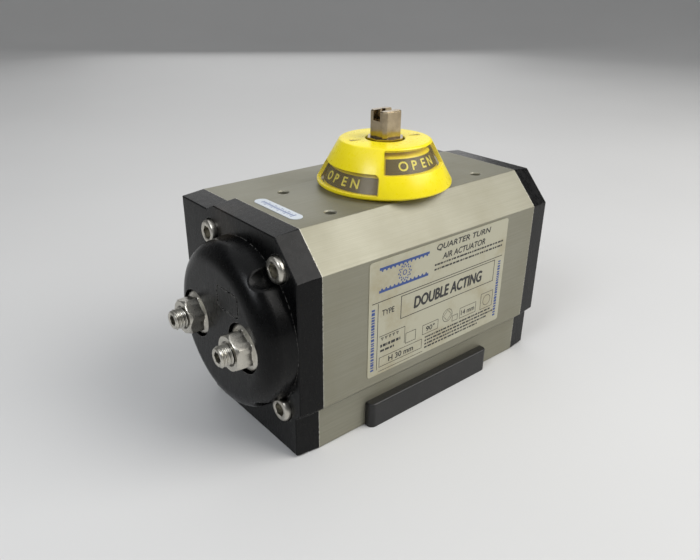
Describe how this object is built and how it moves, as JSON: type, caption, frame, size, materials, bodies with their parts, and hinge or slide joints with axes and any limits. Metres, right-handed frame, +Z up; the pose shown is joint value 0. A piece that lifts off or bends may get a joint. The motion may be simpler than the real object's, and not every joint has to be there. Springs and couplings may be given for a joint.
{
  "type": "rotary pneumatic actuator",
  "caption": "Compact rack-and-pinion quarter-turn air actuator with square top shaft, cone position indicator, adjustable stop screws and a flanged valve mounting face.",
  "frame": {"origin": "pinion axis in the bottom valve-mounting face", "axes": "+Z up the pinion shaft; +X along the piston bore, away from the stop screws; +Y towards the air-port pad; name plate on -Y. Rest pose is open: pistons apart, shaft slot along X."},
  "size_m": [0.1621, 0.0816, 0.1178],
  "materials": {
    "body_aluminium": "matte anodised extrusion",
    "cap_black": "satin black coated casting",
    "stainless_steel": "bright machined",
    "pinion_steel": "nickel plated",
    "piston_aluminium": "die cast, machined",
    "seal_rubber": "matte",
    "bearing_plastic": "moulded acetal",
    "indicator_yellow": "gloss moulded",
    "indicator_lens": "clear tinted polycarbonate",
    "indicator_print": "printed",
    "label_foil": "printed polyester foil",
    "trim_plastic": "moulded"
  },
  "bodies": {
    "housing": {"housing": "body_aluminium", "left_end_cap": "cap_black", "right_end_cap": "cap_black", "left_cap_seal": "seal_rubber", "right_cap_seal": "seal_rubber", "left_cap_screws": "stainless_steel", "right_cap_screws": "stainless_steel", "stop_lock_nuts": "stainless_steel", "stop_screw_seals": "seal_rubber", "upper_bearing": "bearing_plastic", "lower_bearing": "bearing_plastic", "inner_thrust_ring": "bearing_plastic", "outer_thrust_ring": "bearing_plastic", "indicator_base": "indicator_yellow", "indicator_screws": "stainless_steel", "open_strips": "indicator_print", "shut_strips": "indicator_print", "side_label": "label_foil", "top_label": "label_foil", "side_strip": "trim_plastic"},
    "pinion": {"pinion": "pinion_steel", "pinion_upper_o_ring": "seal_rubber", "pinion_lower_o_ring": "seal_rubber", "steel_washer": "stainless_steel", "circlip": "stainless_steel", "indicator_cap": "indicator_yellow", "indicator_lenses": "indicator_lens"},
    "left_piston": {"left_piston": "piston_aluminium", "left_piston_seal": "seal_rubber", "left_wear_band": "bearing_plastic", "left_rack_pad": "bearing_plastic", "left_rod_seal": "seal_rubber"},
    "right_piston": {"right_piston": "piston_aluminium", "right_piston_seal": "seal_rubber", "right_wear_band": "bearing_plastic", "right_rack_pad": "bearing_plastic"},
    "stop_screw_short": {"stop_screw_short": "stainless_steel"},
    "stop_screw_long": {"stop_screw_long": "stainless_steel"}
  },
  "joints": [
    {"name": "pinion_turn", "type": "hinge", "parent": "housing", "child": "pinion", "pos_m": [0, 0, 0.0468], "axis": [0, 0, 1], "range_deg": [-90, 0]},
    {"name": "left_piston_slide", "type": "slide", "parent": "housing", "child": "left_piston", "axis": [1, 0, 0], "range_m": [0, 0.0177]},
    {"name": "right_piston_slide", "type": "slide", "parent": "housing", "child": "right_piston", "axis": [-1, 0, 0], "range_m": [0, 0.0177]},
    {"name": "short_stop_adjust", "type": "slide", "parent": "housing", "child": "stop_screw_short", "axis": [-1, 0, 0], "range_m": [0, 0.003]},
    {"name": "long_stop_adjust", "type": "slide", "parent": "housing", "child": "stop_screw_long", "axis": [-1, 0, 0], "range_m": [0, 0.003]}
  ],
  "couplings": [
    {"joint": "left_piston_slide", "follows": "pinion_turn", "m_per_rad": -0.01125},
    {"joint": "right_piston_slide", "follows": "pinion_turn", "m_per_rad": -0.01125}
  ]
}
